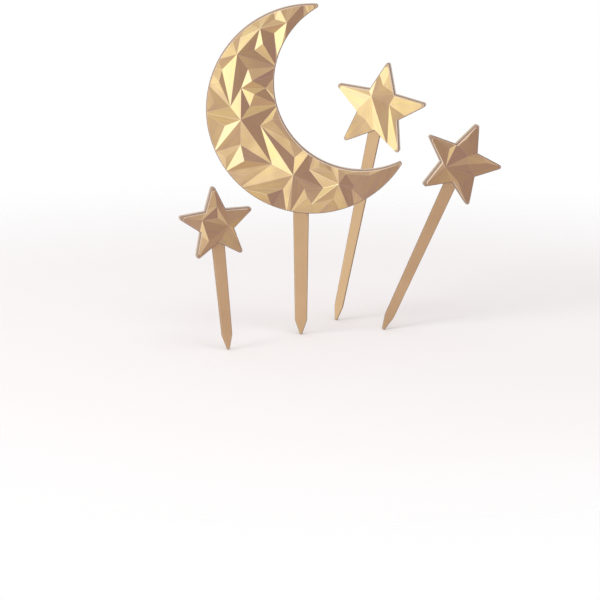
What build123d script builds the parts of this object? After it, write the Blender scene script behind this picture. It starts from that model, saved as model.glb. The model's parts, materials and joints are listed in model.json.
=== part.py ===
from build123d import *
import math
import os

# A topper set: a crescent moon and three five-pointed stars. Each topper is a faceted head with a
# hollow back, plugged on the tang of a flat pick that is pushed into what it decorates.
# Lengths are in millimetres and angles in degrees. X runs to the right, Y away from the viewer
# and Z up. The picks are pushed in up to Z = 0, and the origin is where the moon's pick goes in.

# Moon: an outer circle with a smaller circle bitten out of it
MOON_RADIUS = 51.4
BITE_RADIUS = 42.8
BITE_RIGHT = 24.4
BITE_UP = 12.9
HORN_ROUND = 0.9
MOON_RISE = 4.5

# Where the moon's centre lies from the point where its pick goes in
MOON_CENTRE_RIGHT = 5.3
MOON_CENTRE_UP = 66.8

# Stars: radius to a sharp tip, radius to a notch, and height of the highest facet corner
LARGE_TIP_RADIUS = 25.2
LARGE_NOTCH_RADIUS = 11.0
LARGE_RISE = 3.6
MEDIUM_TIP_RADIUS = 22.7
MEDIUM_NOTCH_RADIUS = 10.0
MEDIUM_RISE = 3.2
SMALL_TIP_RADIUS = 20.4
SMALL_NOTCH_RADIUS = 8.7
SMALL_RISE = 2.8
STAR_TIP_ROUND = 1.1

# Where each star's pick goes in, how far up its pick the star's centre lies, how the pick leans
# to the right, and how its front is turned to the right
LARGE_RIGHT = 26.4
LARGE_BACK = 30.3
LARGE_CENTRE_UP = 63.7
LARGE_LEAN_ANGLE = 11.3
LARGE_TURN_ANGLE = -12.0
MEDIUM_RIGHT = 61.2
MEDIUM_BACK = 14.9
MEDIUM_CENTRE_UP = 40.6
MEDIUM_LEAN_ANGLE = 25.0
MEDIUM_TURN_ANGLE = 12.0
SMALL_RIGHT = -39.2
SMALL_BACK = -34.4
SMALL_CENTRE_UP = 16.6
SMALL_LEAN_ANGLE = -5.3
SMALL_TURN_ANGLE = 14.0

# Mouldings of the heads: flat rim round the facets, skin behind them and wall at the outline
RIM_WIDTH = 0.6
RIM_BEVEL = 0.25
SKIN = 1.3
WALL = 1.4
SOCKET_BACK_WALL = 0.85
SOCKET_FRONT_WALL = 0.9
SOCKET_SIDE_WALL = 1.0

# Picks: flat blades that taper to a point
PICK_THICKNESS = 1.8
PICK_BEVEL = 0.3
PICK_BURIED_DEPTH = 45.0
POINT_LENGTH = 7.0
POINT_WIDTH = 1.2
MOON_PICK_TOP_WIDTH = 7.8
MOON_PICK_LOW_WIDTH = 6.0
LARGE_PICK_TOP_WIDTH = 6.4
LARGE_PICK_LOW_WIDTH = 4.3
MEDIUM_PICK_TOP_WIDTH = 6.5
MEDIUM_PICK_LOW_WIDTH = 4.7
SMALL_PICK_TOP_WIDTH = 6.5
SMALL_PICK_LOW_WIDTH = 5.2
MOON_TANG_WIDTH = 4.6
MOON_TANG_LENGTH = 16.0
STAR_TANG_WIDTH = 3.4
STAR_TANG_LENGTH = 12.0

# Clearances: round the tang, between a pick's shoulder and its head, and past the tang's end
TANG_FIT = 0.05
SHOULDER_GAP = 0.1
TANG_END_GAP = 0.3

# How far a cut runs past what it cuts, and how far the facets run past the outline before
# they are trimmed to it
OVERRUN = 2.0
FACET_OVERRUN = 0.6

# The shares of the facet corners below were chosen as the corners look to a viewer who looks down
# by this angle
SIGHT_DOWN_ANGLE = 12.2

# Depths, measured from the middle of the blade towards the viewer
HEAD_BACK = -(PICK_THICKNESS / 2 + TANG_FIT + SOCKET_BACK_WALL)
RIM_FRONT = PICK_THICKNESS / 2 + TANG_FIT + SOCKET_FRONT_WALL

# Facet corners of the moon. Along is the share of the way round the crescent from the upper horn
# to the right one, across is the share of the way from the bite to the outer edge, and rise is
# the share of the relief's height.
MOON_OUTER_SHARES = {
    "o1": (0.033, 0.10), "o2": (0.042, 0.05), "o3": (0.063, 0.15), "o4": (0.078, 0.15),
    "o5": (0.096, 0.40), "o6": (0.109, 0.35), "o7": (0.127, 0.35), "o8": (0.144, 0.05),
    "o9": (0.171, 0.05), "o10": (0.196, 0.20), "o11": (0.222, 0.40), "o12": (0.234, 0.45),
    "o13": (0.277, 0.60), "o14": (0.297, 0.20), "o15": (0.309, 0.25), "o16": (0.335, 0.30),
    "o17": (0.399, 0.55), "o18": (0.487, 0.05), "o19": (0.536, 0.15), "o20": (0.583, 0.35),
    "o21": (0.664, 0.30), "o22": (0.696, 0.05), "o23": (0.704, 0.05), "o24": (0.761, 0.10),
    "o25": (0.813, 0.15), "o26": (0.831, 0.30), "o27": (0.844, 0.10), "o28": (0.868, 0.20),
    "o29": (0.920, 0.10),
}
MOON_BITE_SHARES = {
    "i1": (0.031, 0.20), "i2": (0.045, 0.25), "i3": (0.116, 0.50), "i4": (0.166, 0.15),
    "i5": (0.187, 0.15), "i6": (0.220, 0.20), "i7": (0.337, 0.30), "i8": (0.366, 0.10),
    "i9": (0.481, 0.40), "i10": (0.713, 0.40), "i11": (0.739, 0.50), "i12": (0.758, 0.20),
    "i13": (0.783, 0.30), "i14": (0.826, 0.15), "i15": (0.847, 0.35), "i16": (0.864, 0.10),
    "i17": (0.925, 0.20),
}
MOON_HORN_SHARES = {"upper_horn": (0.0, 0.20), "right_horn": (1.0, 0.10)}
MOON_MIDDLE_SHARES = {
    "c1": (0.090, 0.35, 0.90), "c2": (0.114, 0.70, 0.50), "c3": (0.131, 0.41, 0.15),
    "c4": (0.157, 0.74, 0.75), "c5": (0.174, 0.47, 0.80), "c6": (0.203, 0.54, 0.35),
    "c7": (0.207, 0.89, 0.40), "c8": (0.243, 0.76, 0.80), "c9": (0.294, 0.87, 0.30),
    "c10": (0.323, 0.86, 0.45), "c11": (0.261, 0.49, 0.40), "c12": (0.290, 0.38, 0.80),
    "c13": (0.324, 0.52, 0.45), "c14": (0.293, 0.15, 0.25), "c15": (0.334, 0.32, 0.70),
    "c16": (0.382, 0.39, 0.25), "c17": (0.385, 0.66, 0.50), "c18": (0.376, 0.88, 0.50),
    "c19": (0.428, 0.54, 1.00), "c20": (0.436, 0.77, 0.40), "c21": (0.465, 0.31, 0.45),
    "c22": (0.455, 0.13, 0.45), "c23": (0.615, 0.09, 0.50), "c24": (0.674, 0.23, 0.35),
    "c25": (0.499, 0.66, 0.25), "c26": (0.509, 0.92, 0.20), "c27": (0.543, 0.74, 0.60),
    "c28": (0.610, 0.50, 0.25), "c29": (0.689, 0.48, 0.75), "c30": (0.673, 0.73, 0.35),
    "c31": (0.642, 0.90, 0.80), "c32": (0.570, 0.87, 0.30), "c33": (0.730, 0.63, 0.30),
    "c34": (0.739, 0.76, 0.30), "c35": (0.741, 0.30, 0.35), "c36": (0.778, 0.19, 0.40),
    "c37": (0.817, 0.23, 0.45), "c38": (0.784, 0.57, 0.15), "c39": (0.828, 0.49, 0.90),
    "c40": (0.751, 0.86, 0.25), "c41": (0.805, 0.79, 0.40), "c42": (0.787, 0.87, 0.35),
    "c43": (0.855, 0.66, 0.45), "c44": (0.864, 0.86, 0.35), "c45": (0.866, 0.61, 0.45),
    "c46": (0.913, 0.36, 0.40), "c47": (0.859, 0.23, 0.55),
}

# Facets, as fans: each pair of neighbours in a row makes one triangle with the corner that
# the row is named after
MOON_FANS = {
    "i1": "upper_horn o1 o2 i2",
    "c1": "o2 o3 o4 o5 c2 c4 c3 i4 i3 i2 o2",
    "c2": "o5 o6",
    "c4": "c2 o6 o7 o8 o9 c7 c8 c6 c5 c3",
    "i5": "i4 c3 c5 c6 c8 c11 c12 i6",
    "c8": "c7 o11 o12 o13 c9 c17 c13 c11",
    "c7": "o9 o10 o11",
    "c13": "c11 c12 c14 c15 c16 c19 c17",
    "c14": "c12 i6 i7 i8 c15",
    "i8": "c15 c16 c19 c21 c22 i9",
    "c19": "c17 o17 c20 o18 c25 c28 c21",
    "c17": "c9 c10 o16 c18 o17",
    "c10": "c9 o14 o15 o16",
    "c9": "o13 o14",
    "c18": "o16 o17",
    "c20": "o17 o18",
    "c21": "c22 c23 c24 c29 c28",
    "c23": "c22 i9 i10 c24",
    "c25": "o18 c26 o19 c27 c28",
    "c26": "o18 o19",
    "c28": "c27 o19 c32 o20 c29",
    "c32": "o19 o20",
    "c29": "c24 i11 c35 c38 c33 o23 o22 c30 o20",
    "c24": "i10 i11",
    "c30": "o20 c31 o21 o22",
    "c31": "o20 o21",
    "c35": "i11 i12 c36 c37 c39 c38",
    "c36": "i12 i13 c37",
    "c37": "i13 i14 c39",
    "c39": "i14 i15 c47 c45 c43 o26 c41 c40 c38",
    "c47": "i15 i16 i17 c46 c45",
    "c34": "o23 c33 c38 c40 o23",
    "c40": "o23 o24 c42 c41",
    "c42": "o24 o25 c41",
    "c41": "o25 o26",
    "c43": "o26 o27 c44 c45",
    "c44": "o27 o28 o29 c46 c45",
    "c46": "i17 right_horn o29",
}

# Facet corners of the stars. The first number is the share of a full turn, clockwise from the top
# tip. Corners on the edge have a rise share after it, and the others an outward share, which is 1
# at the edge, and a rise share.
LARGE_EDGE_SHARES = {
    "top": (0.0, 0.30), "top_edge": (0.028, 0.45), "notch_1": (0.1, 0.30), "right_edge": (0.15, 0.25),
    "right": (0.2, 0.15), "low_edge": (0.258, 0.05), "notch_2": (0.3, 0.30), "low_right": (0.4, 0.65),
    "foot_edge": (0.428, 0.55), "notch_3": (0.5, 0.05), "low_left": (0.6, 0.55),
    "notch_4": (0.7, 0.60), "left": (0.8, 0.60), "notch_5": (0.9, 0.60), "side_edge": (0.972, 0.50),
}
LARGE_MIDDLE_SHARES = {
    "p1": (0.856, 0.50, 0.90), "p2": (0.167, 0.28, 0.35), "p3": (0.611, 0.45, 0.35),
    "p4": (0.989, 0.51, 0.50), "p5": (0.008, 0.77, 0.55),
}
LARGE_FANS = {
    "p1": "left notch_5 side_edge p4 notch_1 p2 foot_edge notch_3 p3 notch_4 left",
    "p2": "notch_1 right_edge right low_edge notch_2 low_right foot_edge",
    "p3": "notch_4 low_left notch_3",
    "p5": "p4 side_edge top top_edge notch_1 p4",
}
MEDIUM_EDGE_SHARES = {
    "top": (0.0, 0.10), "notch_1": (0.1, 0.10), "right": (0.2, 0.10), "notch_2": (0.3, 0.10),
    "low_right": (0.4, 0.10), "notch_3": (0.5, 0.30), "foot_edge": (0.561, 0.05),
    "low_left": (0.6, 0.40), "notch_4": (0.7, 0.65), "left": (0.8, 0.10), "notch_5": (0.9, 0.50),
}
MEDIUM_MIDDLE_SHARES = {
    "p1": (0.628, 0.45, 0.85), "p2": (0.094, 0.52, 0.20), "p3": (0.222, 0.28, 0.60),
    "p4": (0.831, 0.54, 0.35), "p5": (0.192, 0.70, 0.60), "p6": (0.439, 0.67, 0.55),
    "p7": (0.983, 0.64, 0.65),
}
MEDIUM_FANS = {
    "p1": "notch_4 left p4 notch_5 p2 p3 notch_2 p6 notch_3 foot_edge low_left notch_4",
    "p4": "left notch_5",
    "p7": "p2 notch_5 top notch_1 p2",
    "p5": "p3 p2 notch_1 right notch_2 p3",
    "p6": "notch_2 low_right notch_3",
}
SMALL_EDGE_SHARES = {
    "top": (0.0, 0.10), "notch_1": (0.1, 0.10), "right": (0.2, 0.55), "notch_2": (0.3, 0.15),
    "low_right": (0.4, 0.40), "notch_3": (0.5, 0.05), "low_left": (0.6, 0.05),
    "notch_4": (0.7, 0.25), "left": (0.8, 0.10), "notch_5": (0.9, 0.15),
}
SMALL_MIDDLE_SHARES = {
    "p1": (0.808, 0.36, 0.70), "p2": (0.3, 0.80, 0.65), "p3": (0.036, 0.62, 0.55),
    "p4": (0.567, 0.68, 0.65), "p5": (0.094, 0.33, 0.35),
}
SMALL_FANS = {
    "p1": "left notch_5 p3 p5 p2 p4 notch_4 left",
    "p3": "notch_5 top notch_1 p2 p5",
    "p2": "notch_1 right notch_2 low_right notch_3 p4",
    "p4": "notch_4 low_left notch_3",
}

# Tips of a star, and the angles from tip to tip and from tip to notch
STAR_TIP_COUNT = 5
FULL_TURN_ANGLE = 360
TIP_ANGLE = FULL_TURN_ANGLE / STAR_TIP_COUNT
NOTCH_ANGLE = TIP_ANGLE / 2

# The crescent's horns, as directions from the moon's centre
BITE_DISTANCE = math.hypot(BITE_RIGHT, BITE_UP)
BITE_ANGLE = math.degrees(math.atan2(BITE_UP, BITE_RIGHT))
HORN_COSINE = (MOON_RADIUS**2 + BITE_DISTANCE**2 - BITE_RADIUS**2) / (2 * MOON_RADIUS * BITE_DISTANCE)
HORN_SPREAD = math.degrees(math.acos(HORN_COSINE))
UPPER_HORN_ANGLE = BITE_ANGLE + HORN_SPREAD
CRESCENT_SWEEP = FULL_TURN_ANGLE - 2 * HORN_SPREAD


def crescent_point(along, across, reach):
    """Place on the crescent, from its shares, pushed out past the band's edge by reach."""
    angle = UPPER_HORN_ANGLE + along * CRESCENT_SWEEP
    aside = math.radians(angle - BITE_ANGLE)
    chord = math.sqrt(max(BITE_RADIUS**2 - (BITE_DISTANCE * math.sin(aside))**2, 0))
    inner = BITE_DISTANCE * math.cos(aside) + chord
    distance = inner + across * (MOON_RADIUS - inner) + reach
    direction = math.radians(angle)
    return (MOON_CENTRE_RIGHT + distance * math.cos(direction),
            MOON_CENTRE_UP + distance * math.sin(direction))


def raised_place(place, height, lean, turn):
    """Where a corner that seems to lie at a place of the back really lies, at its height above it."""
    level = Vector(0, -1, 0)
    sight = level.rotate(Axis.X, -SIGHT_DOWN_ANGLE).rotate(Axis.Z, -turn).rotate(Axis.Y, -lean)
    sight = sight.rotate(Axis.X, -90)
    right, up = place
    return right + height * sight.X / sight.Z, up + height * sight.Y / sight.Z


def moon_place(along, across, rise):
    """Where a facet corner of the moon lies, from its shares."""
    height = RIM_FRONT - HEAD_BACK + rise * MOON_RISE
    return raised_place(crescent_point(along, across, 0), height, 0, 0)


def edge_place(along, across, rise, reach):
    """Where a facet corner lies that seems to be on an edge of the crescent, pushed out by reach."""
    right, up = moon_place(along, across, rise)
    angle = math.degrees(math.atan2(up - MOON_CENTRE_UP, right - MOON_CENTRE_RIGHT))
    return crescent_point((angle - UPPER_HORN_ANGLE) % FULL_TURN_ANGLE / CRESCENT_SWEEP, across, reach)


def moon_corners():
    """Facet corners of the moon, as places on the front and rise shares."""
    corners = {}
    for name, (along, rise) in MOON_OUTER_SHARES.items():
        corners[name] = (edge_place(along, 1, rise, FACET_OVERRUN), rise)
    for name, (along, rise) in MOON_BITE_SHARES.items():
        corners[name] = (edge_place(along, 0, rise, -FACET_OVERRUN), rise)
    for name, (along, rise) in MOON_HORN_SHARES.items():
        corners[name] = (crescent_point(along, 1, 0), rise)
    for name, (along, across, rise) in MOON_MIDDLE_SHARES.items():
        corners[name] = (moon_place(along, across, rise), rise)
    return corners


def crescent_face(inset, tip_round):
    """The moon's outline, drawn in by inset, with rounded horns."""
    outer = Pos(MOON_CENTRE_RIGHT, MOON_CENTRE_UP) * Circle(MOON_RADIUS - inset)
    bite_place = Pos(MOON_CENTRE_RIGHT + BITE_RIGHT, MOON_CENTRE_UP + BITE_UP)
    crescent = outer - bite_place * Circle(BITE_RADIUS + inset)
    return fillet(crescent.vertices(), tip_round)


class StarShape:
    """A five-pointed star whose centre lies a given way up its pick."""

    def __init__(self, tip_radius, notch_radius, centre_up):
        self.tip_radius = tip_radius
        self.notch_radius = notch_radius
        self.centre_up = centre_up
        half = math.radians(NOTCH_ANGLE)
        across = math.hypot(tip_radius - notch_radius * math.cos(half), notch_radius * math.sin(half))
        self.edge_distance = tip_radius * notch_radius * math.sin(half) / across

    def edge_radius(self, around):
        """Distance from the centre to the outline, a share of a turn clockwise from the top tip."""
        half = math.radians(NOTCH_ANGLE)
        aside = math.radians(abs((around * FULL_TURN_ANGLE + NOTCH_ANGLE) % TIP_ANGLE - NOTCH_ANGLE))
        spread = self.tip_radius * math.sin(aside) + self.notch_radius * math.sin(half - aside)
        return self.tip_radius * self.notch_radius * math.sin(half) / spread

    def point(self, around, outward, reach):
        """Place on the star, pushed out with its edges by reach."""
        growth = (self.edge_distance + reach) / self.edge_distance
        distance = self.edge_radius(around) * outward * growth
        direction = math.radians(around * FULL_TURN_ANGLE)
        return (distance * math.sin(direction), self.centre_up + distance * math.cos(direction))

    def corners(self, edge_shares, middle_shares, rise, lean, turn):
        """Facet corners of the star, as places on the front and rise shares."""
        places = {}
        for name, (around, share) in edge_shares.items():
            places[name] = (self.point(around, 1, FACET_OVERRUN), share)
        for name, (around, outward, share) in middle_shares.items():
            height = RIM_FRONT - HEAD_BACK + share * rise
            places[name] = (raised_place(self.point(around, outward, 0), height, lean, turn), share)
        return places

    def face(self, inset, tip_round):
        """The star's outline, drawn in by inset, with rounded tips."""
        corner_count = 2 * STAR_TIP_COUNT
        points = [self.point(corner / corner_count, 1, -inset) for corner in range(corner_count)]
        outline = Polygon(*points, align=None)
        centre = Vector(0, self.centre_up)
        by_distance = outline.vertices().sort_by(lambda corner: (Vector(corner) - centre).length)
        return fillet(by_distance[-STAR_TIP_COUNT:], tip_round)


def faceted_block(corners, fans, border, rise, front, floor):
    """Solid with a flat floor, upright sides and one flat facet for each triangle of the fans."""
    tops = {name: Vector(*place, front + share * rise) for name, (place, share) in corners.items()}
    feet = {name: Vector(*corners[name][0], floor) for name in border}
    faces = []
    for hub, ring in fans.items():
        names = ring.split()
        for near, far in zip(names, names[1:]):
            faces.append(Face(Wire.make_polygon([tops[hub], tops[near], tops[far]])))
    for near, far in zip(border, border[1:] + border[:1]):
        faces.append(Face(Wire.make_polygon([tops[near], tops[far], feet[far], feet[near]])))
    faces.append(Face(Wire.make_polygon([feet[name] for name in border])))
    return Part() + Solid(Shell(faces))


def prism(face, low, high):
    """Upright solid on a flat outline, between two depths."""
    return extrude(Pos(0, 0, low) * face, amount=high - low, dir=Axis.Z.direction)


def bar(width, low, high, back, front):
    """Rectangular bar on the pick's axis."""
    middle = Pos(0, (low + high) / 2, (back + front) / 2)
    return middle * Box(width, high - low, front - back)


def make_head(face, tip_round, corners, fans, border, rise, seat, tang_width, tang_length):
    """Faceted moulding with a flat rim, a hollow back and a socket that takes the pick's tang."""
    plate = prism(face(0, tip_round), HEAD_BACK, RIM_FRONT)
    plate = chamfer(plate.faces().sort_by(Axis.Z)[-1].edges(), RIM_BEVEL)
    peak = RIM_FRONT + rise + OVERRUN
    middle = (HEAD_BACK + RIM_FRONT) / 2
    facets = faceted_block(corners, fans, border, rise, RIM_FRONT, middle)
    relief = facets & prism(face(RIM_WIDTH, tip_round), HEAD_BACK, peak)
    lowered = faceted_block(corners, fans, border, rise, RIM_FRONT - SKIN, HEAD_BACK - OVERRUN)
    hollow = lowered & prism(face(WALL, tip_round), HEAD_BACK - OVERRUN, peak)
    slot_width = tang_width + 2 * TANG_FIT
    slot_top = seat + tang_length + TANG_END_GAP
    slot_depth = PICK_THICKNESS / 2 + TANG_FIT
    slot = bar(slot_width, seat - OVERRUN, slot_top, -slot_depth, slot_depth)
    sleeve_width = slot_width + 2 * SOCKET_SIDE_WALL
    sleeve = bar(sleeve_width, seat - OVERRUN, slot_top + SOCKET_SIDE_WALL, HEAD_BACK - OVERRUN, peak)
    return plate + relief - (hollow - sleeve) - slot


def make_pick(face, tip_round, seat, top_width, low_width, tang_width, tang_length, buried):
    """Tapered blade with a point, its top shaped to the head, and the tang that holds the head."""
    top = seat + top_width / 2
    low = POINT_LENGTH - buried
    outline = Polygon(
        (-top_width / 2, top), (-low_width / 2, low), (-POINT_WIDTH / 2, -buried),
        (POINT_WIDTH / 2, -buried), (low_width / 2, low), (top_width / 2, top), align=None)
    blade = prism(outline, -PICK_THICKNESS / 2, PICK_THICKNESS / 2)
    blade = chamfer(blade.faces().filter_by(Axis.Z).edges(), PICK_BEVEL)
    room = prism(face(-SHOULDER_GAP, tip_round), -PICK_THICKNESS, PICK_THICKNESS)
    tang = bar(tang_width, seat - top_width, seat + tang_length, -PICK_THICKNESS / 2, PICK_THICKNESS / 2)
    return blade - room + tang


def stand(shape, right, back, lean, turn):
    """Stand a topper up: lean it on its pick, turn its front and move it to its place."""
    return Pos(right, back, 0) * Rot(0, 0, turn) * Rot(0, lean, 0) * Rot(90, 0, 0) * shape


def make_moon():
    """The moon's head and pick, in place."""
    border = ["upper_horn", *MOON_OUTER_SHARES, "right_horn", *reversed(MOON_BITE_SHARES)]
    seat = MOON_CENTRE_UP - math.sqrt(MOON_RADIUS**2 - MOON_CENTRE_RIGHT**2)
    head = make_head(crescent_face, HORN_ROUND, moon_corners(), MOON_FANS, border, MOON_RISE,
                     seat, MOON_TANG_WIDTH, MOON_TANG_LENGTH)
    pick = make_pick(crescent_face, HORN_ROUND, seat, MOON_PICK_TOP_WIDTH, MOON_PICK_LOW_WIDTH,
                     MOON_TANG_WIDTH, MOON_TANG_LENGTH, PICK_BURIED_DEPTH)
    return stand(head, 0, 0, 0, 0), stand(pick, 0, 0, 0, 0)


def make_star(shape, rise, edge_shares, middle_shares, fans, top_width, low_width, place):
    """One star's head and pick, in place. Place holds right, back, lean and turn."""
    right, back, lean, turn = place
    seat = shape.centre_up - shape.notch_radius
    buried = PICK_BURIED_DEPTH / math.cos(math.radians(lean))
    corners = shape.corners(edge_shares, middle_shares, rise, lean, turn)
    head = make_head(shape.face, STAR_TIP_ROUND, corners, fans, list(edge_shares), rise,
                     seat, STAR_TANG_WIDTH, STAR_TANG_LENGTH)
    pick = make_pick(shape.face, STAR_TIP_ROUND, seat, top_width, low_width,
                     STAR_TANG_WIDTH, STAR_TANG_LENGTH, buried)
    return stand(head, right, back, lean, turn), stand(pick, right, back, lean, turn)


TOPPERS = {
    "moon": make_moon(),
    "large_star": make_star(
        StarShape(LARGE_TIP_RADIUS, LARGE_NOTCH_RADIUS, LARGE_CENTRE_UP), LARGE_RISE,
        LARGE_EDGE_SHARES, LARGE_MIDDLE_SHARES, LARGE_FANS,
        LARGE_PICK_TOP_WIDTH, LARGE_PICK_LOW_WIDTH,
        (LARGE_RIGHT, LARGE_BACK, LARGE_LEAN_ANGLE, LARGE_TURN_ANGLE)),
    "medium_star": make_star(
        StarShape(MEDIUM_TIP_RADIUS, MEDIUM_NOTCH_RADIUS, MEDIUM_CENTRE_UP), MEDIUM_RISE,
        MEDIUM_EDGE_SHARES, MEDIUM_MIDDLE_SHARES, MEDIUM_FANS,
        MEDIUM_PICK_TOP_WIDTH, MEDIUM_PICK_LOW_WIDTH,
        (MEDIUM_RIGHT, MEDIUM_BACK, MEDIUM_LEAN_ANGLE, MEDIUM_TURN_ANGLE)),
    "small_star": make_star(
        StarShape(SMALL_TIP_RADIUS, SMALL_NOTCH_RADIUS, SMALL_CENTRE_UP), SMALL_RISE,
        SMALL_EDGE_SHARES, SMALL_MIDDLE_SHARES, SMALL_FANS,
        SMALL_PICK_TOP_WIDTH, SMALL_PICK_LOW_WIDTH,
        (SMALL_RIGHT, SMALL_BACK, SMALL_LEAN_ANGLE, SMALL_TURN_ANGLE)),
}

os.makedirs("parts", exist_ok=True)
for topper, (head, pick) in TOPPERS.items():
    export_step(head, f"parts/{topper}_head.step")
    export_step(pick, f"parts/{topper}_pick.step")
    print(topper, "head", round(head.volume, 1), "pick", round(pick.volume, 1), "cubic mm")
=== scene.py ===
# %% [markdown]
# Faceted moon and stars on picks.
# The set is one crescent moon and three stars, each a gold moulding that plugs on a flat pick.
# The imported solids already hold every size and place. This lesson loads them as a fixed frame,
# keeps the box that they fill, and then dresses each solid with finer edges and a real finish.

# %% Load the frame
import json
import math

import bmesh
import bpy
from mathutils import Matrix, Vector


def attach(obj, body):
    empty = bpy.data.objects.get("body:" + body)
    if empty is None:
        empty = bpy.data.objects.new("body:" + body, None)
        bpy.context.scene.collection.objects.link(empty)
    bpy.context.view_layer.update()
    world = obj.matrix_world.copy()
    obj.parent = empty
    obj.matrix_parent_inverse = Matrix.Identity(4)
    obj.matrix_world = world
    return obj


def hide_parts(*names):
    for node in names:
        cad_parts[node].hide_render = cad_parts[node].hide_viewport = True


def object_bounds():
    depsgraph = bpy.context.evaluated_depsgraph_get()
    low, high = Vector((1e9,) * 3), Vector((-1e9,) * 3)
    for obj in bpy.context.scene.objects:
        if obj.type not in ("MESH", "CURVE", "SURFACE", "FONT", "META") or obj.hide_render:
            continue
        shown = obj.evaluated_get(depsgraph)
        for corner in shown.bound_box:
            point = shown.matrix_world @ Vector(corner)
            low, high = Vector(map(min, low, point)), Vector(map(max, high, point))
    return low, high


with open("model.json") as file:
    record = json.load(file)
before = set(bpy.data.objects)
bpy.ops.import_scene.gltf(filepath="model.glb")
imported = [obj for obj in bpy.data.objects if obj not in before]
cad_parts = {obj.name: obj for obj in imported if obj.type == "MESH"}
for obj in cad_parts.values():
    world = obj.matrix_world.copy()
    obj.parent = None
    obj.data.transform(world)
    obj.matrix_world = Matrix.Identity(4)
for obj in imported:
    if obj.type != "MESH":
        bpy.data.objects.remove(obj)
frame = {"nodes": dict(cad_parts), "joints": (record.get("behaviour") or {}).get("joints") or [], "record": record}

MM = 0.001
cad_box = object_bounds()


def in_millimetres(box):
    """Corners of a box, rounded for printing."""
    return [[round(value / MM, 1) for value in corner] for corner in box]


print("solids:", ", ".join(sorted(frame["nodes"])))
print("box in mm:", in_millimetres(cad_box))

# %% [markdown]
# The camera.
# The picture was taken with a long lens from a little above, which keeps the set's depth nearly flat.
# A camera can be placed by eye or worked out. Here it is worked out: the focal length in pixels,
# the distance and the downward tilt come from measuring where known points fall in the picture.

# %% Camera at the picture's viewpoint
PICTURE_PIXELS = 600
FOCAL_PIXELS = 3648
SENSOR_WIDTH = 36.0
CAMERA_PLACE = (-0.0005, -1.750, 0.3503)
CAMERA_TILT_DOWN = 12.2

scene = bpy.context.scene
scene.view_settings.view_transform = "Standard"
camera_data = bpy.data.cameras.new("picture_camera")
camera_data.sensor_width = SENSOR_WIDTH
camera_data.lens = FOCAL_PIXELS / PICTURE_PIXELS * SENSOR_WIDTH
camera = bpy.data.objects.new("picture_camera", camera_data)
camera.location = CAMERA_PLACE
camera.rotation_euler = (math.radians(90 - CAMERA_TILT_DOWN), 0, 0)
scene.collection.objects.link(camera)
scene.camera = camera
print("lens in mm:", round(camera_data.lens, 1))

# %% [markdown]
# Sums with shader sockets.
# A finish is a sum of masks and noises, and a tree of Math nodes is hard to read as code.
# This small class wraps one output socket, so that 1 - mask or mask * 0.5 writes the Math node for us.
# Every other node comes from its node() method: settings first, then the values or links of its inputs.

# %% A socket that Python can add and multiply
class Shade:
    """One output socket of a node tree, or the tree alone where there is no socket yet."""

    def __init__(self, tree, socket=None):
        self.tree = tree
        self.socket = socket

    def node(self, kind, settings=None, values=None, output=0):
        """Add a node, set it up, fill its inputs and return one of its outputs."""
        node = self.tree.nodes.new(kind)
        for name, value in (settings or {}).items():
            if name == "stops":
                self.set_stops(node.color_ramp, value)
            else:
                setattr(node, name, value)
        for name, value in (values or {}).items():
            if isinstance(value, Shade):
                self.tree.links.new(value.socket, node.inputs[name])
            else:
                node.inputs[name].default_value = value
        return Shade(self.tree, node.outputs[output] if node.outputs else None)

    @staticmethod
    def set_stops(ramp, stops):
        """Give a colour ramp its stops, each a position and a colour."""
        while len(ramp.elements) < len(stops):
            ramp.elements.new(1.0)
        for element, (position, colour) in zip(ramp.elements, stops):
            element.position = position
            element.color = (*colour, 1.0)

    def maths(self, operation, first, second):
        """Math node of two sockets or numbers."""
        return self.node("ShaderNodeMath", {"operation": operation}, {0: first, 1: second})

    def __add__(self, other):
        return self.maths("ADD", self, other)

    def __radd__(self, other):
        return self.maths("ADD", other, self)

    def __sub__(self, other):
        return self.maths("SUBTRACT", self, other)

    def __rsub__(self, other):
        return self.maths("SUBTRACT", other, self)

    def __mul__(self, other):
        return self.maths("MULTIPLY", self, other)

    def __rmul__(self, other):
        return self.maths("MULTIPLY", other, self)

    def between(self, low, high):
        """A smooth step from 0 at low to 1 at high."""
        settings = {"interpolation_type": "SMOOTHSTEP"}
        return self.node("ShaderNodeMapRange", settings, {"Value": self, "From Min": low, "From Max": high})


print("shader sums ready")

# %% [markdown]
# Mixing colours.
# A Mix node has one set of sockets for numbers, one for vectors and one for colours, all under the
# same names. So its colour sockets are picked by number, and this helper is the only place that does it.

# %% A colour between two colours
MIX_FACTOR = 0
MIX_FIRST_COLOUR = 6
MIX_SECOND_COLOUR = 7
MIX_RESULT = 2


def mix_colours(factor, first, second):
    """Colour between two colours, each a socket or three numbers."""
    first, second = [one if isinstance(one, Shade) else (*one, 1.0) for one in (first, second)]
    values = {MIX_FACTOR: factor, MIX_FIRST_COLOUR: first, MIX_SECOND_COLOUR: second}
    return factor.node("ShaderNodeMix", {"data_type": "RGBA"}, values, MIX_RESULT)


print("colour sockets:", MIX_FIRST_COLOUR, "and", MIX_SECOND_COLOUR)

# %% [markdown]
# The studio.
# Polished gold has hardly any colour of its own: it shows what stands round it. The picture's facets
# are pale where they lean left, tan where they face us and brown where they lean right, so the room
# is bright on the left and dim on the right. A world shader gives that as a ramp over the direction.
# Both far ends of the ramp are calmer, which keeps some tone in the facets when the set is seen from a side.
# To the camera the room is plain white, and the wall behind the set is white in reflections too.

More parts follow.
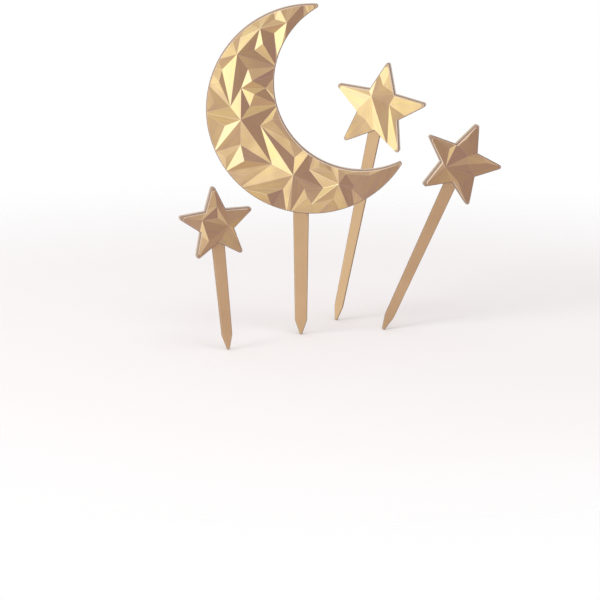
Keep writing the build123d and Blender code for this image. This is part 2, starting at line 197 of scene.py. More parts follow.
# %% A room that is bright on the left
ROOM_STRENGTH = 2.0
ROOM_STOPS = [
    (0.00, (0.38, 0.34, 0.33)),
    (0.07, (0.21, 0.17, 0.215)),
    (0.30, (0.22, 0.18, 0.225)),
    (0.43, (0.27, 0.24, 0.28)),
    (0.50, (0.34, 0.31, 0.34)),
    (0.58, (0.45, 0.435, 0.43)),
    (0.70, (0.69, 0.73, 0.71)),
    (0.85, (0.84, 0.95, 1.05)),
    (0.93, (0.74, 0.78, 0.76)),
    (1.00, (0.40, 0.37, 0.36)),
]
CEILING = (0.35, 0.33, 0.33)
CEILING_SHARE = 0.9
CEILING_FADE = (0.2, 0.65)
GROUND = (0.33, 0.28, 0.27)
GROUND_FADE = (0.5, 0.85)

world = bpy.data.worlds.new("studio")
world.use_nodes = True
world.node_tree.nodes.clear()
scene.world = world
room = Shade(world.node_tree)
direction = room.node("ShaderNodeTexCoord", output="Generated")
right = room.node("ShaderNodeSeparateXYZ", values={0: direction}, output="X")
back = room.node("ShaderNodeSeparateXYZ", values={0: direction}, output="Y")
up = room.node("ShaderNodeSeparateXYZ", values={0: direction}, output="Z")
leftness = 0.5 - right * 0.5
walls = room.node("ShaderNodeValToRGB", {"stops": ROOM_STOPS}, {0: leftness})
room_colour = mix_colours(up.between(*CEILING_FADE) * CEILING_SHARE, walls, CEILING)
room_colour = mix_colours((0.0 - up).between(*GROUND_FADE), room_colour, GROUND)
print("room ramp stops:", len(ROOM_STOPS))

# %% [markdown]
# What each ray sees of the room.
# A Light Path node tells which kind of ray asks. Camera rays, also those that pass through the faded
# floor, get plain white, and mirror rays get white only where they end on the wall behind the set.

# %% White for the camera, the ramp for the gold
WHITE = (1.0, 1.0, 1.0, 1.0)
WALL_BEHIND_FADE = (0.35, 0.8)
WALL_BEHIND_FOOT = (-0.5, -0.2)

seen_by_camera = room.node("ShaderNodeLightPath", output="Is Camera Ray")
seen_in_gloss = room.node("ShaderNodeLightPath", output="Is Glossy Ray")
seen_through = room.node("ShaderNodeLightPath", output="Is Transmission Ray")
wall_behind = back.between(*WALL_BEHIND_FADE) * up.between(*WALL_BEHIND_FOOT)
white_share = seen_by_camera + seen_through + seen_in_gloss * wall_behind
dim_light = room.node("ShaderNodeBackground", values={"Color": room_colour, "Strength": ROOM_STRENGTH})
white_light = room.node("ShaderNodeBackground", values={"Color": WHITE, "Strength": 1.0})
shown = room.node("ShaderNodeMixShader", values={0: white_share, 1: dim_light, 2: white_light})
room.node("ShaderNodeOutputWorld", values={"Surface": shown})
print("room nodes:", len(world.node_tree.nodes))

# %% [markdown]
# The floor.
# The set stands on the points of its picks, on a plain pale disc. The disc fades out towards its
# edge, so the white of the room takes over with no line, and the gold still mirrors a dim room below.
# A large plane would be simpler, but its white would fill every facet that leans down.

# %% Pale floor under the points
FLOOR_RADIUS = 0.46
FLOOR_FADE = (0.16, 0.44)
FLOOR_COLOUR = (0.90, 0.89, 0.88, 1.0)
FLOOR_SIDES = 96

floor_mesh = bpy.data.meshes.new("floor")
builder = bmesh.new()
bmesh.ops.create_circle(builder, cap_ends=True, radius=FLOOR_RADIUS, segments=FLOOR_SIDES)
bmesh.ops.translate(builder, verts=builder.verts, vec=(0, 0, cad_box[0][2]))
builder.to_mesh(floor_mesh)
builder.free()
floor = bpy.data.objects.new("floor", floor_mesh)
scene.collection.objects.link(floor)

paper = bpy.data.materials.new("pale_paper")
paper.use_nodes = True
paper.node_tree.nodes.clear()
sheet = Shade(paper.node_tree)
spot = sheet.node("ShaderNodeTexCoord", output="Object")
flat_spot = sheet.node("ShaderNodeVectorMath", {"operation": "MULTIPLY"}, {0: spot, 1: (1, 1, 0)})
reach = sheet.node("ShaderNodeVectorMath", {"operation": "LENGTH"}, {0: flat_spot}, "Value")
matt = sheet.node("ShaderNodeBsdfDiffuse", values={"Color": FLOOR_COLOUR})
clear = sheet.node("ShaderNodeBsdfTransparent")
laid = sheet.node("ShaderNodeMixShader", values={0: reach.between(*FLOOR_FADE), 1: matt, 2: clear})
sheet.node("ShaderNodeOutputMaterial", values={"Surface": laid})
floor_mesh.materials.append(paper)
floor.visible_glossy = False
print("floor at mm:", round(cad_box[0][2] / MM, 2))

# %% [markdown]
# The lamps.
# A big soft box on the left lights the paler facets and throws a soft shadow to the right. A weaker
# one high in front keeps the shadows open. Area lamps are the plain way to make a soft box in Blender.

# %% Two soft boxes
LAMP_AIM = Vector((0.01, 0, 0.05))
LEFT_BOX_PLACE = (-1.35, -0.95, 0.75)
LEFT_BOX_SIZE = 1.0
LEFT_BOX_WATTS = 13.0
TOP_BOX_PLACE = (0.25, -0.55, 1.5)
TOP_BOX_SIZE = 0.9
TOP_BOX_WATTS = 5.0


def soft_box(name, place, size, watts):
    """Square lamp that looks at the middle of the set."""
    lamp = bpy.data.lights.new(name, "AREA")
    lamp.size = size
    lamp.energy = watts
    box = bpy.data.objects.new(name, lamp)
    box.location = place
    towards = LAMP_AIM - Vector(place)
    box.rotation_euler = towards.to_track_quat("-Z", "Y").to_euler()
    box.visible_camera = False
    box.visible_glossy = False
    scene.collection.objects.link(box)


soft_box("left_soft_box", LEFT_BOX_PLACE, LEFT_BOX_SIZE, LEFT_BOX_WATTS)
soft_box("top_soft_box", TOP_BOX_PLACE, TOP_BOX_SIZE, TOP_BOX_WATTS)
print("lamps:", LEFT_BOX_WATTS, "W and", TOP_BOX_WATTS, "W")

# %% [markdown]
# Where each topper stands.
# A star leans on its pick and is turned a little, so its own up, right and front are not the room's.
# The record gives where each pick goes in and which way its head pulls off. The flat back of the
# blade gives the third direction. A matrix from these turns every later step into the same upright case.

# %% Upright frames of the four toppers
TOPPERS = ("moon", "large_star", "medium_star", "small_star")
BACK_FACING = 0.9

pull_axes = {joint["child"]: joint["axis"] for joint in frame["joints"]}
entry_places = {mount["name"].split("_pick")[0]: mount["pos_m"] for mount in frame["record"]["mounts"]}


def back_direction(node):
    """Direction that the flat back of a blade faces."""
    total = Vector((0, 0, 0))
    for face in node.data.polygons:
        if face.normal.y > BACK_FACING:
            total += face.normal * face.area
    return total.normalized()


def standing_frame(topper):
    """Matrix from a topper's own right, up and front to the set's place."""
    up_way = Vector(pull_axes[topper]).normalized()
    front = -back_direction(frame["nodes"][f"{topper}_pick"])
    right_way = up_way.cross(front).normalized()
    front = right_way.cross(up_way)
    turned = Matrix((right_way, up_way, front)).transposed().to_4x4()
    return Matrix.Translation(entry_places[topper]) @ turned


standing = {topper: standing_frame(topper) for topper in TOPPERS}
for topper, matrix in standing.items():
    print(topper, "front:", [round(value, 3) for value in matrix.to_3x3().col[2]])

# %% [markdown]
# What both golds are made of.
# The real pieces are moulded plastic with a film of metal and a tinted lacquer over it. A metallic
# Principled shader with a thin clear coat does that. Fine lines come from the polishing of the mould,
# and slow clouds from lacquer that ran thicker here and there. Both are noises: the lines are drawn
# out along the grain map of each face, and the clouds follow the place in the set.

# %% Building blocks of a finish
LINE_DETAIL = 3.0
LINE_BREAKS = 0.6
BUMP_STRENGTH = 0.2
BUMP_DEPTH = 0.03 * MM
COAT_ROUGHNESS = 0.12


def new_finish(name):
    """Empty material and the start of its node tree."""
    material = bpy.data.materials.new(name)
    material.use_nodes = True
    material.node_tree.nodes.clear()
    return material, Shade(material.node_tree)


def named_value(start, name):
    """A number that the mesh carries under a name."""
    return start.node("ShaderNodeAttribute", {"attribute_name": name}, output="Fac")


def polishing_lines(start, along_scale, across_scale):
    """Lines that run with the grain of each face, with a scale along it and one across it."""
    flat = start.node("ShaderNodeUVMap", {"uv_map": "grain"})
    scales = (along_scale, across_scale, 0)
    drawn = start.node("ShaderNodeVectorMath", {"operation": "MULTIPLY"}, {0: flat, 1: scales})
    return start.node("ShaderNodeTexNoise", {"noise_dimensions": "2D"},
                      {"Vector": drawn, "Scale": 1.0, "Detail": LINE_DETAIL, "Roughness": LINE_BREAKS})


def clouds(start, scale, detail):
    """Slow change over the whole piece."""
    spot = start.node("ShaderNodeTexCoord", output="Object")
    return start.node("ShaderNodeTexNoise", values={"Vector": spot, "Scale": scale, "Detail": detail})


def metal_output(start, colour, roughness, film, height, coat):
    """Shader with a film of metal and a clear coat, and the material's output."""
    bump_values = {"Strength": BUMP_STRENGTH, "Distance": BUMP_DEPTH, "Height": height}
    bump = start.node("ShaderNodeBump", values=bump_values)
    metal = start.node("ShaderNodeBsdfPrincipled", values={
        "Base Color": colour, "Roughness": roughness, "Metallic": film, "Normal": bump,
        "Coat Weight": coat, "Coat Roughness": COAT_ROUGHNESS})
    start.node("ShaderNodeOutputMaterial", values={"Surface": metal})


print("bump depth in mm:", round(BUMP_DEPTH / MM, 3))

# %% [markdown]
# The gold finish of the heads.
# What a flat gold would lack comes from masks on the mesh: each facet's own tone and streaks, a painted
# highlight on the ridges and on the pale lip, a painted shade on the edge that fades along the outer wall,
# and the back, where the film is thin and the pale plastic shows through. The tone runs from a mauve gold
# to a yellow one, as it does in the picture.
# Moulded skin also sinks a little as it cools, so no facet is a perfect mirror: a slow bump lets its
# tone drift from one end to the other.

# %% Gold for faceted heads
HEAD_DEEP = (0.755, 0.52, 0.325)
HEAD_PALE = (0.865, 0.64, 0.275)
# painted highlight on the softened ridges of heads and picks, also the paler pin marks
HIGHLIGHT_AND_WEAR_PALE = (0.92, 0.74, 0.47)
# painted shade: the dark of a head's chamfer, flat rim and outer wall
RIM_PAINTED_SHADE = (0.23, 0.15, 0.125)
# painted highlight: the pale pink line of the lip, half of it on the step
LIP_PAINTED_HIGHLIGHT = (0.80, 0.60, 0.48)
BACK_PALE = (0.84, 0.70, 0.48)
HEAD_LINES = (0.10, 2.2)
HEAD_STREAKS = (0.04, 0.6)
HEAD_CLOUD_SCALE = 45.0
CLOUD_DETAIL = 2.0
NOISE_SPREAD = (0.3, 0.7)
STREAK_DEPTH = 3.0
SINK_SCALE = 110.0
SINK_DETAIL = 0.0
SINK_DEPTH = 50.0
# how the painted shade on the outer wall fades, from full at its front to a share of it at its back
WALL_FADE = (-1.8, 1.6)
WALL_BACK_SHADE = 0.45
HEAD_COAT = 0.25

head_gold, start = new_finish("faceted_gold")
lines = polishing_lines(start, *HEAD_LINES)
streaks = polishing_lines(start, *HEAD_STREAKS)
drift = clouds(start, HEAD_CLOUD_SCALE, CLOUD_DETAIL)
facet_tone = named_value(start, "facet_tone")
ridge = named_value(start, "ridge")
rim_line = named_value(start, "rim_line")
behind = named_value(start, "behind")
grain = start.node("ShaderNodeUVMap", {"uv_map": "grain"})
wall_depth = start.node("ShaderNodeSeparateXYZ", values={0: grain}, output="X")
# painted shade on the edge: full on the chamfer and at the front of the outer wall, weaker towards its back
wall_shade = WALL_BACK_SHADE + wall_depth.between(*WALL_FADE) * (1 - WALL_BACK_SHADE)
edge = named_value(start, "rim") + named_value(start, "wall") * wall_shade
tone = facet_tone * 0.3 + drift.between(*NOISE_SPREAD) * 0.25 + streaks.between(*NOISE_SPREAD) * 0.45
colour = mix_colours(tone, HEAD_DEEP, HEAD_PALE)
# painted highlight on the ridges, painted shade on the edge and a painted highlight on the lip and step
colour = mix_colours(ridge * 0.7, colour, HIGHLIGHT_AND_WEAR_PALE)
colour = mix_colours(edge * (0.8 + drift * 0.2), colour, RIM_PAINTED_SHADE)
colour = mix_colours(rim_line * (0.8 + drift * 0.2), colour, LIP_PAINTED_HIGHLIGHT)
colour = mix_colours(behind * (0.7 + drift * 0.3), colour, BACK_PALE)
roughness = 0.15 + lines * 0.08 + facet_tone * 0.05 + edge * 0.25 + rim_line * 0.2 + behind * 0.25
film = 1.0 - behind * 0.6 - edge * 0.7 - rim_line * 0.5
height = lines + streaks * STREAK_DEPTH + clouds(start, SINK_SCALE, SINK_DETAIL) * SINK_DEPTH
metal_output(start, colour, roughness, film, height, HEAD_COAT)
print("head gold nodes:", len(head_gold.node_tree.nodes))

# %% [markdown]
# The gold finish of the picks.
# A pick is a plain flat blade. Its film is the same, a little warmer and duller, with lines that run
# along the blade. The tang goes in and out of its socket, so the film is rubbed on it and close below.
# The narrow sides are browner than the flats as a painted shade, and the rounded edges get a little painted
# highlight.

# %% Gold for picks
PICK_DEEP = (0.67, 0.45, 0.24)
PICK_PALE = (0.78, 0.55, 0.32)
RUBBED = (0.80, 0.66, 0.46)
# painted shade on the narrow sides of a blade
SIDE_SHADE_BROWN = (0.30, 0.18, 0.11)
PICK_LINES = (0.08, 4.0)
PICK_CLOUD_SCALE = 60.0
RUBBED_LINES = (0.42, 0.62)
PICK_COAT = 0.2

pick_gold, start = new_finish("drawn_gold")
lines = polishing_lines(start, *PICK_LINES)
drift = clouds(start, PICK_CLOUD_SCALE, CLOUD_DETAIL)
ridge = named_value(start, "ridge")
side = named_value(start, "side")
rubbing = named_value(start, "tang") * lines.between(*RUBBED_LINES) * 0.7
colour = mix_colours(lines * 0.5 + drift * 0.5, PICK_DEEP, PICK_PALE)
colour = mix_colours(rubbing, colour, RUBBED)
# painted highlight on the rounded edges, the paler pin marks, and painted shade on the narrow sides
colour = mix_colours(ridge * 0.5, colour, HIGHLIGHT_AND_WEAR_PALE)
colour = mix_colours(side * 0.7, colour, SIDE_SHADE_BROWN)
roughness = 0.52 + lines * 0.12 + drift * 0.06 + rubbing * 0.12
film = 0.85 - drift * 0.3
metal_output(start, colour, roughness, film, lines, PICK_COAT)
print("pick gold nodes:", len(pick_gold.node_tree.nodes))

# %% [markdown]
# Working copies.
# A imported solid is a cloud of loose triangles, and its node must stay as it is. So each piece starts
# from a copy: its doubles are merged, and triangles that lie in one plane become one face again.
# The copy is also turned upright, so that front means +Z for all four toppers.

# %% Clean upright copy of a solid
MERGE_GAP = 0.001 * MM
SAME_PLANE = math.radians(0.4)


def upright_copy(node_name, topper):
    """Merged copy of a solid, standing in its topper's own frame."""
    mesh = bmesh.new()
    mesh.from_mesh(frame["nodes"][node_name].data)
    bmesh.ops.remove_doubles(mesh, verts=mesh.verts, dist=MERGE_GAP)
    bmesh.ops.transform(mesh, matrix=standing[topper].inverted(), verts=mesh.verts)
    bmesh.ops.dissolve_limit(mesh, angle_limit=SAME_PLANE, verts=mesh.verts, edges=mesh.edges)
    mesh.normal_update()
    return mesh


sample = upright_copy("moon_head", "moon")
open_edges = [edge for edge in sample.edges if len(edge.link_faces) != 2]
print("moon copy:", len(sample.faces), "faces,", len(open_edges), "open edges")

# %% [markdown]
# A grain map.
# Polishing leaves lines, and on every facet they run another way. A UV map called grain tells the
# finish which: U runs along the grain and V across it, both in millimetres. On a facet the grain follows
# the longest side. On a wall it runs from back to front, so there U is also the depth.

# %% Which way the grain runs
LEAST_SLOPE = 0.05


def towards_front(face):
    """Grain that runs from back to front, whatever the face."""
    return Vector((0, 0, 1))


def longest_side(face):
    """Grain that runs along the longest side of a face."""
    side = max(face.edges, key=lambda edge: edge.calc_length())
    return side.verts[1].co - side.verts[0].co


def lay_grain(mesh, grain_way):
    """Map each face in millimetres, with U along the way that its grain runs."""
    grain = mesh.loops.layers.uv.get("grain") or mesh.loops.layers.uv.new("grain")
    for face in mesh.faces:
        way = grain_way(face)
        along = way - face.normal * way.dot(face.normal)
        if along.length < LEAST_SLOPE * way.length:
            along = face.normal.orthogonal()
        along.normalize()
        across = face.normal.cross(along)
        for loop in face.loops:
            spot = loop.vert.co / MM
            loop[grain].uv = (spot.dot(along), spot.dot(across))


print("longest side of the first face in mm:", round(longest_side(next(iter(sample.faces))).length / MM, 1))

# %% [markdown]
# From a working copy to a piece.
# The gold reads a few numbers from the mesh, which are stored as face attributes. Shading is smooth
# over small folds and breaks at larger ones. A finished piece is hidden from mirror rays: in the
# picture every facet shows the room alone, and without this a facet would also show a small dark copy
# of the next topper.

# %% Attributes, shading and the finished object
def float_layer(mesh, name):
    """Face attribute of a mesh, made on first use."""
    return mesh.faces.layers.float.get(name) or mesh.faces.layers.float.new(name)


def fold_angle(edge):
    """Angle between the two faces of an edge, in degrees."""
    return math.degrees(edge.calc_face_angle(0.0))


def smooth_below(mesh, limit):
    """Smooth shading that breaks at edges folded by more than the limit, in degrees."""
    for face in mesh.faces:
        face.smooth = True
    for edge in mesh.edges:
        edge.smooth = fold_angle(edge) < limit


def finished_piece(mesh, name, place, material):
    """Object at the origin, with its place in its mesh."""
    bmesh.ops.transform(mesh, matrix=place, verts=mesh.verts)
    data = bpy.data.meshes.new(name)
    mesh.to_mesh(data)
    mesh.free()
    data.materials.append(material)
    piece = bpy.data.objects.new(name, data)
    piece.visible_glossy = False
    scene.collection.objects.link(piece)
    return piece


print("steepest fold of the moon in degrees:", round(max(fold_angle(edge) for edge in sample.edges), 1))

# %% [markdown]
# Reading the faces of a head.
# From outside in, the front of a head has an outer wall, a small chamfer, a flat rim, a short step and
# the sloping facets. Behind lie the hollow and the socket. The solid has no names for them, but the
# direction of a face and the depth of its corners tell them apart. The rim's depth is read off the moon,
# and it is the same on the stars.

# %% Kinds of faces
FLAT_FRONT = 0.99
UPRIGHT = 0.25
CHAMFER_DEPTH = 0.25 * MM
SLACK = 0.02 * MM

flat_levels = [face.calc_center_median().z for face in sample.faces if face.normal.z > FLAT_FRONT]
RIM_FRONT = min(level for level in flat_levels if level > 0)
sample.free()


def is_facet(face):
    """True for the sloping faces of the relief."""
    return face.normal.z > UPRIGHT and max(vertex.co.z for vertex in face.verts) > RIM_FRONT + SLACK


def is_outer_wall(face):
    """True for upright faces that end at the front, which the walls of the hollow back don't do."""
    beside = [other for edge in face.edges for other in edge.link_faces]
    return abs(face.normal.z) < UPRIGHT and any(other.normal.z > UPRIGHT for other in beside)


def face_kind(face):
    """Which part of a head a face belongs to."""
    lowest = min(vertex.co.z for vertex in face.verts)
    faces_front = face.normal.z > UPRIGHT
    if is_facet(face):
        return "facet"
    if lowest > RIM_FRONT - SLACK and (faces_front or is_outer_wall(face)):
        return "flat_rim" if faces_front else "step"
    if faces_front and lowest > RIM_FRONT - CHAMFER_DEPTH - SLACK:
        return "chamfer"
    return "wall" if is_outer_wall(face) else "behind"


print("rim in front of the blade's middle by mm:", round(RIM_FRONT / MM, 3))

# %% [markdown]
# Tints for the finish.
# The edge of a head is painted shade: darkest on the chamfer, half as dark on the flat rim, and fading
# along the wall. The step up to the facets takes some of the lip's pink, its painted highlight. A facet gets
# no tint but a tone of its own, from a sine of its place, which looks random and is the same in every run.

# %% Numbers on the faces of a head
# rim and wall carry the edge's painted shade and rim_line the lip's painted highlight; behind is the back's own
# pale film
FACE_TINTS = {
    "chamfer": ("rim", 1.0),
    "flat_rim": ("rim", 0.5),
    "wall": ("wall", 1.0),
    "step": ("rim_line", 0.5),
    "behind": ("behind", 1.0),
}
TINT_NAMES = ("rim", "wall", "rim_line", "behind", "facet_tone")
TONE_WAVES = Vector((1.7, 2.9, 0.0))


def mark_faces(mesh):
    """Write tints and tones on the faces of an upright head, and count its kinds of faces."""
    layers = {name: float_layer(mesh, name) for name in TINT_NAMES}
    counts = {}
    for face in mesh.faces:
        kind = face_kind(face)
        counts[kind] = counts.get(kind, 0) + 1
        if kind in FACE_TINTS:
            name, tint = FACE_TINTS[kind]
            face[layers[name]] = tint
        middle = face.calc_center_median() / MM
        face[layers["facet_tone"]] = 0.5 + 0.5 * math.sin(middle.dot(TONE_WAVES))
    return counts


print("tints:", ", ".join(TINT_NAMES))

# %% [markdown]
# The faceted heads.
# On the real moulding no ridge is a razor's edge: the mould's cutter and the film leave a tiny
# rounding that catches light as a bright line. A bevel on the ridges alone gives it. A subdivision
# surface would round the facets themselves, and a shader trick would be lost in the exported mesh.

# %% Heads with softened ridges
RIDGE_WIDTH = 0.12 * MM
ROUND_STEPS = 2
ROUND_PROFILE = 0.5
LEAST_RIDGE_FOLD = 5.0
HEAD_SMOOTH_FOLD = 3.0


def round_edges(mesh, edges, width):
    """Bevel some edges and mark the new faces as ridges, which the gold paints with a pale highlight."""
    ridge_layer = float_layer(mesh, "ridge")
    made = bmesh.ops.bevel(mesh, geom=edges, offset=width, offset_type="OFFSET", segments=ROUND_STEPS,
                           profile=ROUND_PROFILE, affect="EDGES", clamp_overlap=True)
    for face in made["faces"]:
        face[ridge_layer] = 1.0
    mesh.normal_update()


def head_grain(face):
    """Grain of a head: along each facet, and from back to front on its other faces."""
    return longest_side(face) if is_facet(face) else towards_front(face)


def make_head(topper):
    """Head piece of one topper, which stands for its solid."""
    mesh = upright_copy(f"{topper}_head", topper)
    counts = mark_faces(mesh)
    facets = {face for face in mesh.faces if is_facet(face)}
    ridges = [edge for edge in mesh.edges
              if all(face in facets for face in edge.link_faces) and fold_angle(edge) > LEAST_RIDGE_FOLD]
    round_edges(mesh, ridges, RIDGE_WIDTH)
    lay_grain(mesh, head_grain)
    smooth_below(mesh, HEAD_SMOOTH_FOLD)
    piece = finished_piece(mesh, f"{topper}_facets", standing[topper], head_gold)
    print(piece.name, counts, "ridges:", len(ridges), "faces:", len(piece.data.polygons))
    return piece


heads = {topper: make_head(topper) for topper in TOPPERS}

# %% [markdown]
# Growing a mesh along a path.
# A lip that runs round an outline, or marks that repeat along a blade, follow a path. Geometry Nodes
# make such things from a few numbers: the tree has named inputs, and a modifier on the path fills them
# in. The result is then taken as a plain mesh, so nothing in the set depends on a live modifier.

# %% From a path and a node tree to a plain mesh
def new_tree(name, inputs):
    """Geometry node tree with a path to start from and named inputs."""
    tree = bpy.data.node_groups.new(name, "GeometryNodeTree")
    tree.interface.new_socket("Path", in_out="INPUT", socket_type="NodeSocketGeometry")
    for input_name, kind in inputs.items():
        tree.interface.new_socket(input_name, in_out="INPUT", socket_type=kind)
    tree.interface.new_socket("Grown", in_out="OUTPUT", socket_type="NodeSocketGeometry")
    return Shade(tree)


def end_tree(grower, geometry, finish):
    """Turn instances into real faces, dress them and pass them out of the tree."""
    real = grower.node("GeometryNodeRealizeInstances", values={"Geometry": geometry})
    dressed = grower.node("GeometryNodeSetMaterial", values={"Geometry": real, "Material": finish})
    grower.node("NodeGroupOutput", values={"Grown": dressed})


def grown_mesh(path, grower, values):
    """Plain mesh that a tree grows from a path, a list of points and a list of edges."""
    line = bpy.data.meshes.new("path")
    line.from_pydata(path[0], path[1], [])
    carrier = bpy.data.objects.new("path", line)
    scene.collection.objects.link(carrier)
    modifier = carrier.modifiers.new("grow", "NODES")
    modifier.node_group = grower.tree
    for item in grower.tree.interface.items_tree:
        if item.name in values:
            modifier[item.identifier] = values[item.name]
    evaluated = carrier.evaluated_get(bpy.context.evaluated_depsgraph_get())
    grown = bpy.data.meshes.new_from_object(evaluated)
    carrier.modifiers.remove(modifier)
    bpy.data.objects.remove(carrier)
    bpy.data.meshes.remove(line)
    return grown


print("paths can be grown")

# %% [markdown]
# The lip's tree.
# Just inside its dark outer edge, which is painted shade, each head has a thin pale line: a low rounded
# lip where the film sits thick, whose pale pink is a painted highlight. The tree turns a path into a curve,
# sweeps a small circle along it and marks the tube's faces, so that the head's gold paints that highlight on them.

# %% A tube along a path
LIP_RADIUS = 0.10 * MM
LIP_SIDES = 8

lip_tree = new_tree("rim_lip", {"Lip Radius": "NodeSocketFloat", "Lip Sides": "NodeSocketInt",
                                "Lip Finish": "NodeSocketMaterial"})
path = lip_tree.node("NodeGroupInput", output="Path")
radius = lip_tree.node("NodeGroupInput", output="Lip Radius")
sides = lip_tree.node("NodeGroupInput", output="Lip Sides")
finish = lip_tree.node("NodeGroupInput", output="Lip Finish")
curve = lip_tree.node("GeometryNodeMeshToCurve", values={"Mesh": path})
ring = lip_tree.node("GeometryNodeCurvePrimitiveCircle", values={"Resolution": sides, "Radius": radius})
tube = lip_tree.node("GeometryNodeCurveToMesh", values={"Curve": curve, "Profile Curve": ring})
# rim_line makes the head's gold paint a pale highlight on the tube
marked = lip_tree.node("GeometryNodeStoreNamedAttribute", {"data_type": "FLOAT", "domain": "FACE"},
                       {"Geometry": tube, "Name": "rim_line", "Value": 1.0})
end_tree(lip_tree, marked, finish)
lip_sizes = {"Lip Radius": LIP_RADIUS, "Lip Sides": LIP_SIDES, "Lip Finish": head_gold}
print("lip tree nodes:", len(lip_tree.tree.nodes))

# %% [markdown]
# The lip's path.
# The path is the front edge of the rim, where the chamfer ends, drawn in by a fraction of a millimetre.
# Each corner moves along its mitre, so that the lip keeps its distance at tips and notches.

# %% A lip round every head
LIP_INSET = 0.24 * MM
LIP_SINK = 0.03 * MM
LIP_SMOOTH_FOLD = 60.0


def meets_chamfer(edge):
    """True for the edges of the flat rim that border its chamfer."""
    return any(face_kind(face) == "chamfer" for face in edge.link_faces)


def inward_ways(mesh):
    """For each corner on the front edge of the rim, the inward ways of its two edges."""
    ways = {}
    edges = []
    for face in mesh.faces:
        if face.normal.z < FLAT_FRONT or abs(face.calc_center_median().z - RIM_FRONT) > SLACK:
            continue
        for loop in face.loops:
            if meets_chamfer(loop.edge):
                ahead = loop.link_loop_next.vert.co - loop.vert.co
                way = Vector((0, 0, 1)).cross(ahead).normalized()
                edges.append((loop.vert, loop.link_loop_next.vert))
                for corner in edges[-1]:
                    ways.setdefault(corner, []).append(way)
    return ways, edges


def lip_path(topper):
    """Points and edges of a head's lip, in the topper's own frame."""
    mesh = upright_copy(f"{topper}_head", topper)
    ways, edges = inward_ways(mesh)
    points = []
    for corner, (first, second) in ways.items():
        mitre = (first + second) / (1 + first.dot(second))
        points.append(corner.co + mitre * LIP_INSET - Vector((0, 0, LIP_SINK)))
    order = {corner: number for number, corner in enumerate(ways)}
    links = [(order[near], order[far]) for near, far in edges]
    mesh.free()
    return points, links


def make_lip(topper):
    """Lip of one head."""
    grown = grown_mesh(lip_path(topper), lip_tree, lip_sizes)
    mesh = bmesh.new()
    mesh.from_mesh(grown)
    bpy.data.meshes.remove(grown)
    bmesh.ops.recalc_face_normals(mesh, faces=mesh.faces)
    lay_grain(mesh, towards_front)
    smooth_below(mesh, LIP_SMOOTH_FOLD)
    piece = finished_piece(mesh, f"{topper}_lip", standing[topper], head_gold)
    print(piece.name, "faces:", len(piece.data.polygons))
    return piece


lips = {topper: make_lip(topper) for topper in TOPPERS}

# %% [markdown]
# The picks.
# A pick is moulded from the same plastic: a flat blade with broken edges, a point below and a narrow
# tang above. The solid has the shape, so the copy only gets slightly rounded edges, and numbers that
# tell the finish where the rounded edges, the narrow sides and the rubbed upper end are.

# %% Picks with worn edges, a painted highlight on them and painted shade on their sides
EDGE_WIDTH = 0.08 * MM
LEAST_EDGE_FOLD = 20.0
BLADE_FLAT = 0.95
RUBBED_FROM = 6.0 * MM
BLADE_SMOOTH_FOLD = 12.0


def own_places(piece, topper):
    """Corners of a piece in its topper's own frame."""
    upright = standing[topper].inverted()
    return [upright @ vertex.co for vertex in piece.data.vertices]


def head_foot(topper):
    """Height of a head's lowest corner along its pick."""
    return min(place.y for place in own_places(heads[topper], topper))


def up_the_blade(face):
    """Grain that runs up a pick, whatever the face."""
    return Vector((0, 1, 0))


def make_pick(topper):
    """Pick piece of one topper, which stands for its solid."""
    mesh = upright_copy(f"{topper}_pick", topper)
    edges = [edge for edge in mesh.edges if fold_angle(edge) > LEAST_EDGE_FOLD]
    round_edges(mesh, edges, EDGE_WIDTH)
    tang_layer = float_layer(mesh, "tang")
    side_layer = float_layer(mesh, "side")
    rubbed_height = head_foot(topper) + RUBBED_FROM
    for face in mesh.faces:
        face[tang_layer] = 1.0 if face.calc_center_median().y > rubbed_height else 0.0
        # the narrow sides get a painted shade
        face[side_layer] = 1.0 if abs(face.normal.z) < BLADE_FLAT else 0.0
    lay_grain(mesh, up_the_blade)
    smooth_below(mesh, BLADE_SMOOTH_FOLD)
    piece = finished_piece(mesh, f"{topper}_blade", standing[topper], pick_gold)
    print(piece.name, "rounded edges:", len(edges), "faces:", len(piece.data.polygons))
    return piece


picks = {topper: make_pick(topper) for topper in TOPPERS}

# %% [markdown]
# The tree of the pin marks.
# Round pins push a moulded blade out of its mould, and each leaves a faint disc on the flat back.
# The marks repeat at even steps, so a second tree resamples a line down the blade and sets a low
# disc on every point. A disc is marked as worn, so that the picks' gold shows it a little paler.

# %% Discs at even steps
MARK_SPACING = 13.0 * MM
MARK_RADIUS = 1.1 * MM
MARK_HEIGHT = 0.20 * MM
MARK_SIDES = 24
MARK_WEAR = 0.7

mark_tree = new_tree("pin_marks", {"Mark Spacing": "NodeSocketFloat", "Mark Radius": "NodeSocketFloat",
                                   "Mark Height": "NodeSocketFloat", "Mark Sides": "NodeSocketInt",
                                   "Mark Finish": "NodeSocketMaterial"})
path = mark_tree.node("NodeGroupInput", output="Path")
spacing = mark_tree.node("NodeGroupInput", output="Mark Spacing")
radius = mark_tree.node("NodeGroupInput", output="Mark Radius")
height = mark_tree.node("NodeGroupInput", output="Mark Height")
sides = mark_tree.node("NodeGroupInput", output="Mark Sides")
finish = mark_tree.node("NodeGroupInput", output="Mark Finish")
curve = mark_tree.node("GeometryNodeMeshToCurve", values={"Mesh": path})
steps = mark_tree.node("GeometryNodeResampleCurve", {"mode": "LENGTH"}, {"Curve": curve, "Length": spacing})
disc = mark_tree.node("GeometryNodeMeshCylinder",
                      values={"Vertices": sides, "Radius": radius, "Depth": height})
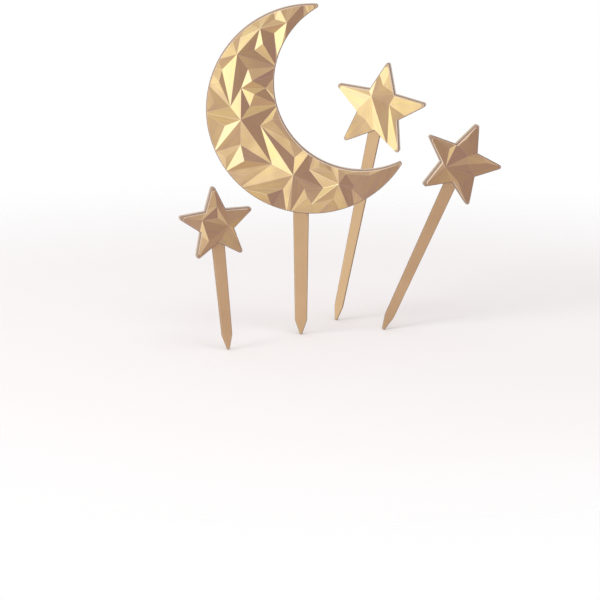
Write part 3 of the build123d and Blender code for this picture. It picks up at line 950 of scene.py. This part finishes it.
worn = mark_tree.node("GeometryNodeStoreNamedAttribute", {"data_type": "FLOAT", "domain": "FACE"},
                      {"Geometry": disc, "Name": "ridge", "Value": MARK_WEAR})
placed = mark_tree.node("GeometryNodeInstanceOnPoints", values={"Points": steps, "Instance": worn})
end_tree(mark_tree, placed, finish)
mark_sizes = {"Mark Spacing": MARK_SPACING, "Mark Radius": MARK_RADIUS, "Mark Height": MARK_HEIGHT,
              "Mark Sides": MARK_SIDES, "Mark Finish": pick_gold}
print("mark tree nodes:", len(mark_tree.tree.nodes))

# %% [markdown]
# Marks of the mould.
# The marks run down the flat back of each blade, from below its head to above its point. The back's
# depth is read off the blade itself. All of them become one piece, because they all move with the picks.

# %% Pin marks down the backs of the picks
CLEAR_OF_HEAD = 4.0 * MM
CLEAR_OF_POINT = 10.0 * MM


def mark_path(topper):
    """Line down the back of a blade, from below its head to above its point."""
    places = own_places(picks[topper], topper)
    back_depth = min(place.z for place in places)
    low = min(place.y for place in places) + CLEAR_OF_POINT
    top = head_foot(topper) - CLEAR_OF_HEAD
    return [(0, top, back_depth), (0, low, back_depth)], [(0, 1)]


marks_mesh = bmesh.new()
for topper in TOPPERS:
    grown = grown_mesh(mark_path(topper), mark_tree, mark_sizes)
    grown.transform(standing[topper])
    marks_mesh.from_mesh(grown)
    bpy.data.meshes.remove(grown)
marks_mesh.normal_update()
lay_grain(marks_mesh, towards_front)
pin_marks = finished_piece(marks_mesh, "pick_pin_marks", Matrix(), pick_gold)
print(pin_marks.name, "faces:", len(pin_marks.data.polygons))

# %% [markdown]
# Moving with the bodies.
# A head can be pulled off its pick, so what belongs to a head rides on that head's body, and the
# blades and their marks ride on the body of the picks. A dressed head or blade also stands for its
# solid, which is then hidden.

# %% Every piece rides on its body
for topper in TOPPERS:
    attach(heads[topper], topper)
    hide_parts(f"{topper}_head")
    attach(picks[topper], "picks")
    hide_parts(f"{topper}_pick")
    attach(lips[topper], topper)
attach(pin_marks, "picks")
print("pieces:", len(heads) + len(picks) + len(lips) + 1)
